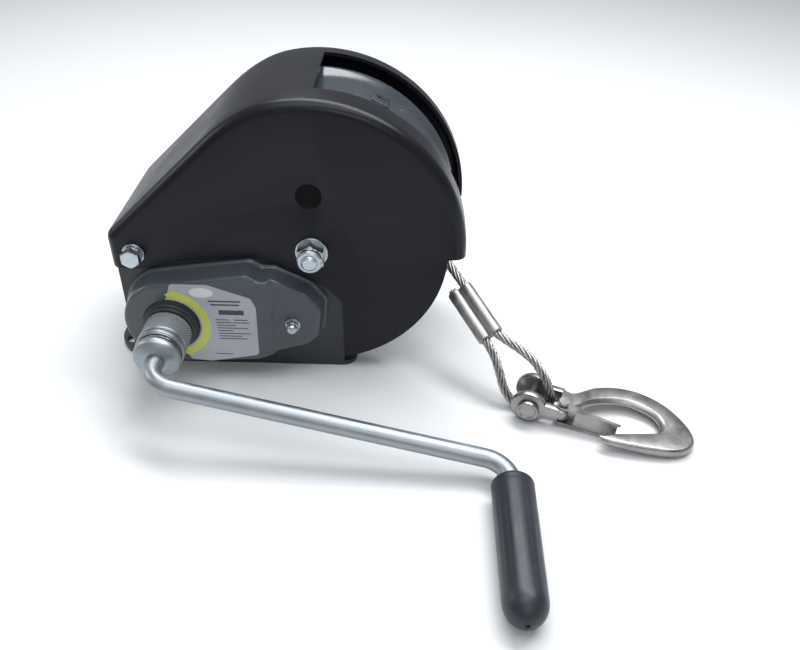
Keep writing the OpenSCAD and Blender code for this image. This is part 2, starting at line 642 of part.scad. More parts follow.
frame();
cover();
rope_guard();
gear_cover();
label();
axle_bolt();
axle_nut();
axle_washers();
axle_spacer();
tie_bolt();
tie_nut();
tie_washers();
tie_spacer();
shaft_bushes();
ratchet_wheel();
pawl_pin();
pawl_spring();
cover_stud();
cover_nut();
drum();
drum_gear();
drum_bushes();
rope_winding();
rope_clamp();
clamp_screws();
pinion_shaft();
shaft_circlip();
brake_hub();
friction_discs();
drive_hub();
crank_rod();
crank_socket();
locking_balls();
sleeve_spring();
grip_clip();
knurled_sleeve();
grip();
pawl();
free_rope();
ferrule();
hook();
clevis_pin();
pin_clip();
latch_rivet();
latch();
latch_spring();
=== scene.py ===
"""Boat trailer winch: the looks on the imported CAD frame.

Lengths in this script are millimetres in the row frame, with +Z up, +X towards the rope and
-Y towards the crank. They are scaled to metres where meshes are made.
"""

import math

import bmesh
import bpy
from mathutils import Matrix, Vector


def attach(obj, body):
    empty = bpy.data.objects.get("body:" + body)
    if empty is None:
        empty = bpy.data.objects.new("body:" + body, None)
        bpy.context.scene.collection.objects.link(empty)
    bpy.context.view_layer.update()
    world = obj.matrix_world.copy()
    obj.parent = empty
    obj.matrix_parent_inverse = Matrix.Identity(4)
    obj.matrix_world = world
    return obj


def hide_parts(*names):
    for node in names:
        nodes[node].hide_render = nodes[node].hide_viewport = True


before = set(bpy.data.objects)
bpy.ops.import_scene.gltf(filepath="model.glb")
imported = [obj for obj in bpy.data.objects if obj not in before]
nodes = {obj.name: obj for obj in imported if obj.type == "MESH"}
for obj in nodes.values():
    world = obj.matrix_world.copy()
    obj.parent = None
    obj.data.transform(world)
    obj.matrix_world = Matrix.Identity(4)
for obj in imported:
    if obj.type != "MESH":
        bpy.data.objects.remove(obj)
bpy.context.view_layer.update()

MM = 0.001
AXLE = (69.0, 108.4)                         # drum axle, X and Z
MESH_ANGLE, CENTRE_DISTANCE = 207.3, 120.0   # from the drum axle to the pinion shaft
SHAFT = (
    AXLE[0] + CENTRE_DISTANCE * math.cos(math.radians(MESH_ANGLE)),
    AXLE[1] + CENTRE_DISTANCE * math.sin(math.radians(MESH_ANGLE)),
)
COVER_R = 112.6                              # rim of the cover, about the axle
COVER_Y = 59.2                               # half the cover's depth
LOBE_R = 99.5                                # round lower edge of the cover's walls
FLAT_ANGLE, FLAT_AT = 133.0, 109.0           # the cover's flat back: where it faces, and how far out
END_X = -81.7                                # end wall of the cover
GUARD_R = 102.8                              # outside of the rope guard
HOUSING_FACE = 78.0                          # front of the gear housing
CRANK_REST = math.radians(8.75)
PIN_AT = Vector((234, -104.5, 13.5))         # middle of the hook's clevis pin
HOOK_YAW, HOOK_PITCH = math.radians(-16), math.radians(4.4)


# ---- Camera, lights, floor ----

def look(camera, place, yaw, pitch, roll):
    """Stands the camera at place, turned yaw to the right, pitch down and roll about its own line."""
    ahead = Vector((math.sin(yaw) * math.cos(pitch), math.cos(yaw) * math.cos(pitch), -math.sin(pitch)))
    right = Vector((math.cos(yaw), -math.sin(yaw), 0))
    up = right.cross(ahead)
    c, s = math.cos(roll), math.sin(roll)
    right, up = c * right + s * up, c * up - s * right
    m = Matrix((right, up, -ahead)).transposed().to_4x4()
    m.translation = Vector(place) * MM
    camera.matrix_world = m


camera = bpy.data.objects.new("camera", bpy.data.cameras.new("camera"))
bpy.context.scene.collection.objects.link(camera)
camera.data.lens = 36.41
camera.data.sensor_width = 36
camera.data.clip_start = 0.01
look(camera, (145.0, -562.7, 416.5), yaw=-0.022, pitch=0.637, roll=0.012)
bpy.context.scene.camera = camera
bpy.context.scene.view_settings.view_transform = "Standard"


def softbox(name, place, target, width, height, power, tint=(1, 1, 1)):
    """A rectangular light at place that faces target, in metres and watts."""
    data = bpy.data.lights.new(name, "AREA")
    data.shape, data.size, data.size_y, data.energy, data.color = "RECTANGLE", width, height, power, tint
    lamp = bpy.data.objects.new(name, data)
    bpy.context.scene.collection.objects.link(lamp)
    lamp.location = place
    lamp.rotation_euler = (Vector(target) - Vector(place)).to_track_quat("-Z", "Y").to_euler()


softbox("top_light", (0.3, 0.35, 1.15), (0.1, 0, 0.15), 1.5, 0.42, 21, (0.95, 0.98, 1.0))
softbox("overhead_light", (0.1, -0.4, 1.3), (0.05, -0.05, 0.1), 1.1, 0.7, 7, (0.94, 0.97, 1.0))
softbox("left_light", (-1.2, 0.1, 0.6), (0.0, 0, 0.1), 0.5, 0.5, 2.5)
softbox("front_light", (0.35, -1.3, 1.0), (0.1, -0.1, 0.1), 0.7, 0.35, 3)

world = bpy.data.worlds.new("studio")
bpy.context.scene.world = world
world.use_nodes = True
world.node_tree.nodes["Background"].inputs["Color"].default_value = (0.93, 0.96, 1.0, 1)
world.node_tree.nodes["Background"].inputs["Strength"].default_value = 0.36


# ---- Materials ----

class Nodes:
    """A small helper to build one material's node tree."""

    def __init__(self, name):
        self.material = bpy.data.materials.new(name)
        self.material.use_nodes = True
        self.tree = self.material.node_tree
        self.shader = self.tree.nodes["Principled BSDF"]
        self.coords = self.add("ShaderNodeTexCoord").outputs["Object"]

    def add(self, kind, **values):
        node = self.tree.nodes.new(kind)
        for key, value in values.items():
            setattr(node, key, value)
        return node

    def join(self, a, b):
        self.tree.links.new(a, b)

    def noise(self, scale, detail):
        node = self.add("ShaderNodeTexNoise")
        node.inputs["Scale"].default_value = scale
        node.inputs["Detail"].default_value = detail
        node.inputs["Roughness"].default_value = 0.55
        self.join(self.coords, node.inputs["Vector"])
        return node.outputs["Fac"]

    def span(self, value, low, high, start=0.3, end=0.7):
        """The value stretched from start and end to low and high."""
        node = self.add("ShaderNodeMapRange")
        node.inputs["From Min"].default_value = start
        node.inputs["From Max"].default_value = end
        node.inputs["To Min"].default_value = low
        node.inputs["To Max"].default_value = high
        self.join(value, node.inputs["Value"])
        return node.outputs["Result"]

    def mix(self, factor, a, b):
        """A colour between a and b, each of them a colour or a socket."""
        node = self.add("ShaderNodeMix", data_type="RGBA")
        self.join(factor, node.inputs["Factor"])
        for socket, value in ((node.inputs["A"], a), (node.inputs["B"], b)):
            if isinstance(value, tuple):
                socket.default_value = (*value, 1)
            else:
                self.join(value, socket)
        return node.outputs["Result"]

    def bump(self, height, strength, distance):
        node = self.add("ShaderNodeBump")
        node.inputs["Strength"].default_value = strength
        node.inputs["Distance"].default_value = distance
        self.join(height, node.inputs["Height"])
        return node.outputs["Normal"]


def finish(name, colour, rough, metal=0.0, vary=0.12, rough_vary=0.06, patch=60, grain=900, bumps=0.15,
           bump_mm=0.05, wear=None, level=0.5):
    """A surface with patches of slightly other colour and gloss, a fine grain, and specks of wear.

    vary and rough_vary say how far the patches stray in colour and roughness, patch and grain are
    noise scales, bumps and bump_mm are the grain's strength and height, wear is the specks' colour
    and level is the specular level.
    """
    m = Nodes(name)
    shader = m.shader.inputs
    shader["Metallic"].default_value = metal
    shader["Specular IOR Level"].default_value = level
    patches, fine = m.noise(patch, 4), m.noise(grain, 3)
    dark = tuple(c * (1 - vary) for c in colour)
    light = tuple(min(1, c * (1 + vary)) for c in colour)
    base = m.mix(m.span(patches, 0, 1), dark, light)
    if wear:
        specks = m.span(m.noise(grain * 0.55, 2), 0, 1, 0.70, 0.74)
        base = m.mix(specks, base, wear)
    m.join(base, shader["Base Color"])
    both = m.add("ShaderNodeMath", operation="ADD")
    m.join(m.span(patches, rough - rough_vary, rough + rough_vary), both.inputs[0])
    m.join(m.span(fine, -rough_vary / 2, rough_vary / 2), both.inputs[1])
    m.join(both.outputs["Value"], shader["Roughness"])
    m.join(m.bump(fine, bumps, bump_mm * MM), shader["Normal"])
    return m.material


COVER = finish("cover_black", (0.0072, 0.0080, 0.0112), 0.33, vary=0.25, patch=14, grain=1500, bumps=0.10,
               bump_mm=0.03, wear=(0.02, 0.02, 0.022), level=0.24)
# The dimple's darker, less glossy colour is painted shade for its hollow.
DIMPLE_SHADE = finish("dimple_painted_shade", (0.0035, 0.0037, 0.0046), 0.55, vary=0.2, grain=1500, bumps=0.1, level=0.1)
GUARD = finish("guard_gloss", (0.034, 0.041, 0.050), 0.22, vary=0.2, patch=35, grain=420, bumps=0.16,
               wear=(0.09, 0.1, 0.11))
HOUSING = finish("housing_grey", (0.056, 0.067, 0.079), 0.29, vary=0.05, rough_vary=0.025, patch=18,
                 bumps=0.05, bump_mm=0.03, level=0.55)
HUB = finish("hub_slate", (0.030, 0.036, 0.043), 0.34, bumps=0.12)
FRAME_PAINT = finish("frame_grey", (0.024, 0.027, 0.032), 0.38, vary=0.15, patch=40, grain=800, bumps=0.14)
ZINC = finish("zinc_bright", (0.50, 0.54, 0.58), 0.30, 1, vary=0.14, rough_vary=0.09, patch=160, grain=1400,
              bumps=0.18)
CRANK_ZINC = finish("zinc_satin", (0.33, 0.36, 0.385), 0.44, 1, vary=0.09, rough_vary=0.07, patch=70,
                    grain=1100, bumps=0.16, bump_mm=0.04, wear=(0.36, 0.38, 0.40))
HOOK_ZINC = finish("hook_plate", (0.315, 0.305, 0.30), 0.35, 1, vary=0.16, rough_vary=0.08, patch=70,
                   grain=800, bumps=0.45, bump_mm=0.12, wear=(0.50, 0.49, 0.48))
KNURL = finish("zinc_knurled", (0.25, 0.275, 0.295), 0.52, 0.35, vary=0.1, patch=120, grain=1500, bumps=0.2)
# Painted shade for the knurl's hollows: a darker zinc on the faces that lie deepest.
KNURL_HOLLOW_SHADE = finish("knurl_painted_shade", (0.05, 0.056, 0.062), 0.55, 0.35, vary=0.15, patch=200, grain=1500)
DARK_STEEL = finish("steel_dark", (0.26, 0.27, 0.29), 0.36, 1, vary=0.2, patch=90)
BRONZE = finish("bush_bronze", (0.48, 0.33, 0.17), 0.42, 1, vary=0.2, patch=120, grain=1500)
FRICTION = finish("lining", (0.12, 0.07, 0.04), 0.8, vary=0.3, patch=300, grain=1500, bumps=0.4)
BLACK_OXIDE = finish("black_oxide", (0.010, 0.010, 0.011), 0.34, vary=0.2, patch=90)
WIRE = finish("rope_wire", (0.37, 0.36, 0.345), 0.34, 1, vary=0.25, rough_vary=0.1, patch=300, grain=1600,
              bumps=0.3)
# The rope's core is real, but its dark colour is painted shade in the gaps between the strands.
ROPE_CORE_SHADE = finish("rope_core_shade", (0.05, 0.048, 0.045), 0.6, 0.6, vary=0.25, patch=300, grain=1600)
FERRULE = finish("ferrule_alloy", (0.36, 0.35, 0.335), 0.46, 1, vary=0.10, rough_vary=0.07, patch=90,
                 grain=700, bumps=0.3, bump_mm=0.08, wear=(0.26, 0.25, 0.245))
GRIP = finish("grip_charcoal", (0.0135, 0.0165, 0.023), 0.42, vary=0.14, grain=2200, bumps=0.22)
FILM = finish("label_film", (0.40, 0.405, 0.44), 0.42, vary=0.05, patch=45, grain=1300, bumps=0.05)
YELLOW = finish("label_yellow", (0.56, 0.61, 0.11), 0.42, patch=45, vary=0.06, grain=1300, bumps=0.05)
INK = finish("label_ink", (0.045, 0.045, 0.055), 0.45, vary=0.2, patch=400, grain=1300, bumps=0.05)
PALE = finish("label_pale", (0.66, 0.70, 0.66), 0.42, vary=0.05, patch=45, grain=1300, bumps=0.05)
FLOOR = finish("floor_pale", (0.70, 0.705, 0.71), 0.75, vary=0.01, rough_vary=0.03, patch=3, grain=600,
               bumps=0.02)


# ---- Outlines and curves ----

def ease(t):
    """0 to 1 with a soft start and end, as t goes from 0 to 1."""
    t = max(0.0, min(1.0, t))
    return t * t * (3 - 2 * t)


def direction(degrees):
    return Vector((math.cos(math.radians(degrees)), math.sin(math.radians(degrees))))


def round_angles(n):
    """n angles, evenly round a circle."""
    return [2 * math.pi * k / n for k in range(n)]


def arc(centre, r, a0, a1, n):
    """n + 1 points of a circle, from a0 to a1 degrees."""
    return [(centre[0] + r * math.cos(math.radians(a0 + (a1 - a0) * i / n)),
             centre[1] + r * math.sin(math.radians(a0 + (a1 - a0) * i / n))) for i in range(n + 1)]


def corner(a, b, c, r, n):
    """Points of the corner b between a and c, rounded with radius r."""
    if r == 0:
        return [b]
    a, b, c = Vector(a), Vector(b), Vector(c)
    u, v = (a - b).normalized(), (c - b).normalized()
    half = math.acos(max(-1, min(1, u.dot(v)))) / 2
    m = b + (u + v).normalized() * r / math.sin(half)
    p, q = b + u * r / math.tan(half) - m, b + v * r / math.tan(half) - m
    a0 = math.atan2(p.y, p.x)
    da = (math.atan2(q.y, q.x) - a0 + 3 * math.pi) % (2 * math.pi) - math.pi
    turns = [a0 + da * i / n for i in range(n + 1)]
    return [tuple(m + r * Vector((math.cos(t), math.sin(t)))) for t in turns]


def corners(chain, n=6):
    """The rounded corners between the two ends of a chain of (x, y, corner radius) points."""
    return [p for a, b, c in zip(chain, chain[1:], chain[2:]) for p in corner(a[:2], b[:2], c[:2], b[2], n)]


def rounded(points, n):
    """A closed outline through (x, y, corner radius) points."""
    return corners(points[-1:] + points + points[:1], n)


def inset(outline, d):
    """The closed outline moved inwards by d; at a sharp point it moves no more than twice that."""
    area = sum(outline[i - 1][0] * p[1] - p[0] * outline[i - 1][1] for i, p in enumerate(outline))
    k, out, turn = len(outline), [], 1 if area > 0 else -1
    for i in range(k):
        a, b, c = (Vector(outline[j % k]) for j in (i - 1, i, i + 1))
        e, f = (b - a).normalized(), (c - b).normalized()
        n1, n2 = Vector((-e.y, e.x)) * turn, Vector((-f.y, f.x)) * turn
        m = (n1 + n2) / max(0.2, 1 + n1.dot(n2))
        out.append(tuple(b + m * min(1, 2 / max(m.length, 1e-6)) * d))
    return out


def spline(points, steps):
    """A smooth curve through the points, with that many steps to each stretch."""
    p, out = [Vector(q) for q in points], []
    last = len(p) - 1
    for i in range(last):
        a, b, c, d = p[max(i - 1, 0)], p[i], p[i + 1], p[min(i + 2, last)]
        for s in range(steps):
            t = s / steps
            out.append(0.5 * (2 * b + (c - a) * t + (2 * a - 5 * b + 4 * c - d) * t * t
                              + (3 * b - a - 3 * c + d) * t * t * t))
    return out + [p[-1]]


def even(path, step):
    """The same path with points about step apart, and their distances along it."""
    total = sum((b - a).length for a, b in zip(path, path[1:]))
    n = max(2, round(total / step))
    out, i, gone = [path[0]], 0, 0.0
    for k in range(1, n):
        want = total * k / n
        while gone + (path[i + 1] - path[i]).length < want:
            gone += (path[i + 1] - path[i]).length
            i += 1
        out.append(path[i].lerp(path[i + 1], (want - gone) / (path[i + 1] - path[i]).length))
    return out + [path[-1]], [total * k / n for k in range(n + 1)]


def frames(path):
    """A pair of unit directions across the path at each point, carried along it without twisting."""
    out, u = [], None
    for i, p in enumerate(path):
        t = (path[min(i + 1, len(path) - 1)] - path[max(i - 1, 0)]).normalized()
        u = (t.orthogonal() if u is None else u - t * u.dot(t)).normalized()
        out.append((u, t.cross(u)))
    return out


# ---- Meshes ----

class Shape:
    """Vertices and faces of one piece, in millimetres; a face's kind is its material's index."""

    def __init__(self):
        self.points, self.faces, self.kinds = [], [], []

    def ring(self, points):
        start = len(self.points)
        self.points += [tuple(p) for p in points]
        return list(range(start, len(self.points)))

    def face(self, indices, kind=0):
        self.faces.append(list(indices))
        self.kinds.append(kind)

    def bridge(self, a, b, closed=True, kind=0):
        """Faces between two rings; a ring of one point is a pole."""
        n = max(len(a), len(b))
        for i in range(n if closed else n - 1):
            j = (i + 1) % n
            if len(a) == 1:
                self.face([a[0], b[j], b[i]], kind)
            elif len(b) == 1:
                self.face([a[i], a[j], b[0]], kind)
            else:
                self.face([a[i], a[j], b[j], b[i]], kind)

    def rings(self, many, caps=True, kind=0):
        """A skin over many rings, with a flat cap on each end that isn't a pole."""
        made = [self.ring(r) for r in many]
        for a, b in zip(made, made[1:]):
            self.bridge(a, b, kind=kind)
        if caps:
            for r in (made[0][::-1], made[-1]):
                if len(r) > 2:
                    self.face(r, kind)
        return made

    def make(self, name, materials, body, replaces=(), *, sharp):
        """The finished piece; edges sharper than sharp degrees stay hard."""
        mesh = bpy.data.meshes.new(name)
        mesh.from_pydata([Vector(p) * MM for p in self.points], [], self.faces)
        for m in materials:
            mesh.materials.append(m)
        mesh.polygons.foreach_set("material_index", self.kinds)
        work = bmesh.new()
        work.from_mesh(mesh)
        bmesh.ops.remove_doubles(work, verts=work.verts, dist=1e-6)
        bmesh.ops.recalc_face_normals(work, faces=work.faces)
        work.to_mesh(mesh)
        work.free()
        mesh.shade_smooth()
        mesh.set_sharp_from_angle(angle=math.radians(sharp))
        piece = bpy.data.objects.new(name, mesh)
        bpy.context.scene.collection.objects.link(piece)
        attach(piece, body)
        if replaces:
            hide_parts(*replaces)
        return piece


def thicken(piece, thickness, even_offset=False):
    """Gives a skin its wall, inwards."""
    wall = piece.modifiers.new("wall", "SOLIDIFY")
    wall.thickness, wall.offset, wall.use_even_offset = thickness * MM, -1, even_offset


def soften(piece, width, angle):
    """Rounds the edges of a piece that are sharper than angle degrees."""
    bevel = piece.modifiers.new("soft_edges", "BEVEL")
    bevel.width, bevel.segments = width * MM, 2
    bevel.limit_method, bevel.angle_limit = "ANGLE", math.radians(angle)
    bevel.harden_normals = True


def lathe(shape, profile, place, sides, swell=lambda a, d, r: 0):
    """Turns (distance, radius) points about a line; one that ends where it starts has a bore.

    place puts (across, distance, across) in the row's frame, and swell adds to the radius.
    """
    rows = []
    for d, r in profile:
        if r == 0:
            rows.append([place(0, d, 0)])
            continue
        row = []
        for a in round_angles(sides):
            q = r + swell(a, d, r)
            row.append(place(q * math.cos(a), d, q * math.sin(a)))
        rows.append(row)
    shape.rings(rows, caps=profile[0] != profile[-1])


# Places in the row's frame. d is the distance in front of the winch's middle.

def on_shaft(x, d, z):
    return (SHAFT[0] + x, -d, SHAFT[1] + z)


def on_axle(x, d, z):
    return (AXLE[0] + x, -d, AXLE[1] + z)


def on_crank(x, d, z):
    """The crank's own plane: x along the arm, d in front, z square to both."""
    c, s = math.cos(CRANK_REST), math.sin(CRANK_REST)
    return (SHAFT[0] + x * c + z * s, -d, SHAFT[1] - x * s + z * c)


def on_hook(x, y, z):
    """The hook's own frame: its pin lies along y, and the hook along x."""
    c, s = math.cos(HOOK_PITCH), math.sin(HOOK_PITCH)
    x, z = x * c + z * s, z * c - x * s
    c, s = math.cos(HOOK_YAW), math.sin(HOOK_YAW)
    return (PIN_AT.x + x * c - y * s, PIN_AT.y + x * s + y * c, PIN_AT.z + z)


# ---- Rope, ferrule and hook ----

ROPE_START = [(145, 14, 146), (152, 13, 130), (157, 9, 114), (162, 2, 99), (166, -7, 87), (170, -16, 76)]
FERRULE_IN, FERRULE_OUT = Vector((183.5, -36, 66)), Vector((207.5, -72, 48))
FERRULE_SIDE = Vector((-8, -2.7, -5.3))      # from the rope's main leg to its returning leg
ROPE_EYE = [(216, -78, 45), (225, -84, 42), (235, -93, 38), (242, -102, 31), (246.5, -107, 21),
            (247.5, -108, 12), (241.5, -108, 5.5), (233, -106.5, 4), (225.5, -104, 4.2), (219, -101, 8),
            (213.5, -97.5, 16), (210, -92, 26), (206, -84, 35)]
ALONG = (FERRULE_OUT - FERRULE_IN).normalized()
route = (ROPE_START + [FERRULE_IN, FERRULE_IN + 5 * ALONG, FERRULE_OUT - 5 * ALONG, FERRULE_OUT] + ROPE_EYE
         + [FERRULE_OUT + FERRULE_SIDE, FERRULE_OUT + FERRULE_SIDE - 5 * ALONG,
            FERRULE_IN + FERRULE_SIDE + 5 * ALONG, FERRULE_IN + FERRULE_SIDE - 2.5 * ALONG])
centreline, along = even(spline(route, 12), 1.1)

STRANDS, LAY, STRAND_R, STRAND_AT = 6, 40.0, 1.2, 2.25     # LAY: rope to one turn of a strand
WIRES, WIRE_LAY = 6, 13.0
CORE_R = 1.5
rope = Shape()
cross = frames(centreline)
for k in range(STRANDS):
    rows = []
    for p, s, (u, v) in zip(centreline, along, cross):
        a = 2 * math.pi * (k / STRANDS + s / LAY)
        out, side = math.cos(a) * u + math.sin(a) * v, math.cos(a) * v - math.sin(a) * u
        row = []
        for i in range(2 * WIRES):
            b = 2 * math.pi * (i / (2 * WIRES) - s / WIRE_LAY)
            r = STRAND_R * (1.0 if i % 2 == 0 else 0.86)
            row.append(p + STRAND_AT * out + r * (math.cos(b) * out + math.sin(b) * side))
        rows.append(row)
    rope.rings(rows)
# The core tube fills the gaps between the strands; its dark material is painted shade there.
rope.rings([[p + CORE_R * (math.cos(a) * u + math.sin(a) * v) for a in round_angles(6)]
            for p, (u, v) in list(zip(centreline, cross))[::2]], kind=1)
rope_piece = rope.make("rope_strands", [WIRE, ROPE_CORE_SHADE], "winch_frame", ["free_rope"], sharp=80)

pitch = FERRULE_SIDE.length
ferrule_y = ALONG.cross(FERRULE_SIDE).normalized()
ferrule_x = ferrule_y.cross(ALONG)


def two_lobes(r):
    """The ferrule's outline: a round about each leg of the rope, joined by a waist."""
    dip, waist = math.degrees(math.acos(min(1.0, 0.41 * pitch / r))), 0.40 * r
    return (arc((0, 0), r, dip, 360 - dip, 18) + [(pitch / 2, -waist)]
            + arc((pitch, 0), r, dip - 180, 180 - dip, 18) + [(pitch / 2, waist)])


# (distance along the ferrule, radius), with two pressed grooves
FERRULE_PROFILE = [(0, 3.75), (0, 4.9), (0.5, 5.25), (1.4, 5.4), (11, 5.4), (12.2, 5.15), (13.4, 5.4),
                   (33, 5.4), (34.2, 5.15), (35.4, 5.4), (45.4, 5.4), (46.3, 5.25), (46.8, 4.9), (46.8, 3.75)]
ferrule = Shape()
ferrule.rings([[FERRULE_IN + x * ferrule_x + y * ferrule_y + z * ALONG for x, y in two_lobes(r)]
               for z, r in FERRULE_PROFILE], caps=False)
ferrule_piece = ferrule.make("ferrule_pressed", [FERRULE], "winch_frame", ["ferrule"],
                             sharp=50)

SHANK_HALF, BOWL_HALF, TIP_HALF = 5.9, 3.9, 2.9     # half the hook's thickness
# Sections of the hook from its crown to its tip: a point of the outer edge, and the inner edge's point
# across from it
HOOK_SECTIONS = [
    ((21.5, 13.4), (21.5, -13.4)), ((25.6, 11.4), (27, -12.4)), ((30.4, 11.8), (31, -7.5)),
    ((36.6, 17.6), (35.5, -2.5)), ((43, 24.6), (40, 4.5)), ((51, 29.8), (47.5, 11)),
    ((62, 33.4), (59, 16.4)), ((74, 34.3), (70, 18.6)), ((88, 31.2), (81.5, 16.5)),
    ((100, 24.6), (89.5, 12.3)), ((110, 15.2), (93.8, 7)), ((117, 5.2), (95, 2)),
    ((119.4, -4.5), (93.6, -2.8)), ((115.4, -14.2), (90, -5.9)), ((106, -20.4), (84.5, -8.2)),
    ((93, -23.8), (77.5, -10.8)), ((80.5, -25.6), (70.5, -13.4)), ((69.5, -26.6), (64, -15.9)),
    ((61, -27), (59.2, -18.2)), ((56.5, -26.4), (56.4, -20.6)), ((53.4, -25), (54.2, -23)),
]
CHEEK_R, CHEEK_IN, CHEEK_OUT = 13.2, 7.7, 13.5      # the two cheeks that hold the clevis pin


def hook_half(t):
    """Half the hook's thickness at t, from 0 at its crown to 1 at its tip."""
    return (SHANK_HALF - (SHANK_HALF - BOWL_HALF) * ease((t - 0.1) / 0.16)
            - (BOWL_HALF - TIP_HALF) * ease((t - 0.72) / 0.28))


def hook_section(outer, inner, half):
    """One section: rounded on its outer side, with a broad bevel towards the opening."""
    o, i = Vector(outer), Vector(inner)
    w = (i - o).length
    r, c = min(2.8, 0.42 * w), min(2.9, 0.40 * w)
    side = [(r * (1 - math.cos(a)), -half + r * (1 - math.sin(a))) for a in
            (math.radians(t) for t in (0, 22, 45, 68, 90))]
    side += [(w - c - 0.5, -half), (w - c, -half + 0.1), (w - 0.25, -half + c * 0.9), (w, -half + c * 1.05)]
    side += [(x, -z) for x, z in reversed(side)]
    return [(o + (i - o) * (x / w)).to_3d() + Vector((0, 0, z)) for x, z in side]


hook = Shape()
outer_line = spline([a for a, b in HOOK_SECTIONS], 5)
inner_line = spline([b for a, b in HOOK_SECTIONS], 5)
last = len(outer_line) - 1
hook.rings([[on_hook(*p) for p in hook_section(a, b, hook_half(k / last))]
            for k, (a, b) in enumerate(zip(outer_line, inner_line))])
cheek = arc((0, 0), CHEEK_R, 28, 332, 40) + [(22.6, -5.7), (22.6, 5.7)]
for s in (-1, 1):
    near, far = s * CHEEK_IN, s * CHEEK_OUT
    hook.rings([[on_hook(x, y, z) for x, z in inset(cheek, d)] for d, y in
                ((1.0, near), (0.3, near + 0.3 * s), (0, near + s), (0, far - 1.2 * s), (0.4, far - 0.4 * s),
                 (1.3, far))])
hook_piece = hook.make("hook_forged", [HOOK_ZINC], "load_hook", ["hook"], sharp=38)

pin = Shape()
lathe(pin, [(-15.6, 0), (-15.6, 4.4), (-15, 5), (13.9, 5), (13.9, 7.8), (14.4, 8.2), (16.6, 8.2), (17.4, 7.8),
            (17.6, 7.0), (17.3, 6.3), (16.5, 5.6), (16.3, 0)], lambda x, d, z: on_hook(x, -d, z), 48)
pin_piece = pin.make("clevis_pin_head", [HOOK_ZINC], "load_hook", ["clevis_pin"], sharp=40)


# ---- Rope on the drum ----

TURNS, TURN_PITCH, WINDING_R, BARREL_R = 10, 7.1, 76.3, 31
WINDING_HALF, SHOULDER_R = 35.9, 75.0
BUMP_STEPS = 7
ridge = []
for k in range(TURNS):
    for i in range(BUMP_STEPS):
        t = -1 + 2 * i / BUMP_STEPS
        ridge.append((TURN_PITCH * (k + 0.5 * (1 + t) - TURNS / 2), WINDING_R + 3.6 * math.sqrt(1 - t * t)))


def strands(a, d, r):
    """Strand ridges that slant across each turn of rope."""
    return 0.22 * math.sin(a * 72 + d * 1.8) if r > 76.5 else 0


winding = Shape()
lathe(winding, [(-WINDING_HALF, BARREL_R), (-WINDING_HALF, SHOULDER_R)] + ridge
      + [(WINDING_HALF, SHOULDER_R), (WINDING_HALF, BARREL_R), (-WINDING_HALF, BARREL_R)],
      on_axle, 432, strands)
winding.make("rope_turns", [WIRE], "rope_drum", ["rope_winding"], sharp=70)


# ---- Moulded cover ----

RIM_LOW, RIM_END = 103.6, 90.0               # lower ends of the rim, at the rope and at the end wall
SLOT_END = 88.0                              # where the slot in the rim ends, in degrees
SLOT_FRONT, SLOT_BACK = -33.0, 42.0          # Y of the slot's long edges
FILLET = 8.0                                 # round between the rim and the walls
END_WALL = 100.0                             # top of the end wall's plain stretch
DIMPLE_AT, DIMPLE_R = (AXLE[0], AXLE[1] + 44.5), 9.5

faces_out = math.radians(FLAT_ANGLE)
flat_start = FLAT_ANGLE - math.degrees(math.acos(FLAT_AT / COVER_R))
turn_at = (END_X, AXLE[1] + (FLAT_AT - (END_X - AXLE[0]) * math.cos(faces_out)) / math.sin(faces_out))
rim = [(AXLE[0] + COVER_R, RIM_LOW)] + arc(AXLE, COVER_R, 1, SLOT_END, 44)
slot_row = len(rim) - 1
rim += arc(AXLE, COVER_R, SLOT_END, flat_start, 16)[1:]
flat_from = rim[-1]
rim += [tuple(Vector(flat_from).lerp(Vector(turn_at), t)) for t in (0.2, 0.35, 0.5, 0.7)]
# The arc's last eight points move onto an easy curve that runs into the flat
BLEND_POINTS = 9
blend_to = len(rim) - 4
blend_from = blend_to - BLEND_POINTS
a, b = Vector(rim[blend_from]), Vector(rim[blend_to])
leaving = (a - Vector(AXLE)).normalized().orthogonal()
square_to_flat = direction(FLAT_ANGLE)
knee = a + leaving * (b - a).dot(square_to_flat) / leaving.dot(square_to_flat)
for i in range(1, BLEND_POINTS):
    t = i / BLEND_POINTS
    rim[blend_from + i] = tuple(a * (1 - t) ** 2 + knee * 2 * t * (1 - t) + b * t * t)
rim += corner(flat_from, turn_at, (END_X, END_WALL), 9, 10) + [(END_X, END_WALL), (END_X, RIM_END)]

inward = []
for i in range(len(rim)):
    e = (Vector(rim[min(i + 1, len(rim) - 1)]) - Vector(rim[max(i - 1, 0)])).normalized()
    inward.append(Vector((-e.y, e.x)))
inward[0], inward[-1] = Vector((-1, 0)), Vector((1, 0))

# Lower edge of the walls: the opening over the housing, then the round lobe, in (x, z, corner radius)
OPENING_END = (90, 12)
WINDOW = [(-56, 90, 10), (-32, 97, 10), (26, 103, 8), (40, 97.2, 10), (60, 87, 10), (76, 79, 10),
          (90, 64, 12)]
opening = corners([(END_X + FILLET, RIM_END, 0)] + WINDOW + [(*OPENING_END, 0)]) + [OPENING_END]
lower_edge = opening + arc(AXLE, LOBE_R, -75.66, -3.2, 34)

# (distance in from the rim, Y) across the cover
fillet = [(FILLET * (1 - math.sin(t)), FILLET * (1 - math.cos(t))) for t in
          (math.radians(90 * i / 7) for i in range(8))]
section = ([(d, -COVER_Y + e) for d, e in fillet] + [(0, SLOT_FRONT), (0, -5), (0, 20), (0, SLOT_BACK)]
           + [(d, COVER_Y - e) for d, e in reversed(fillet)])
cover = Shape()
columns = [cover.ring([(p[0] + n.x * d, y, p[1] + n.y * d) for p, n in zip(rim, inward)])
           for d, y in section]
for c, (a, b) in enumerate(zip(columns, columns[1:])):
    in_slot = SLOT_FRONT <= section[c][1] and section[c + 1][1] <= SLOT_BACK
    for i in range(len(rim) - 1):
        if not (in_slot and i < slot_row):
            cover.face([a[i], a[i + 1], b[i + 1], b[i]])

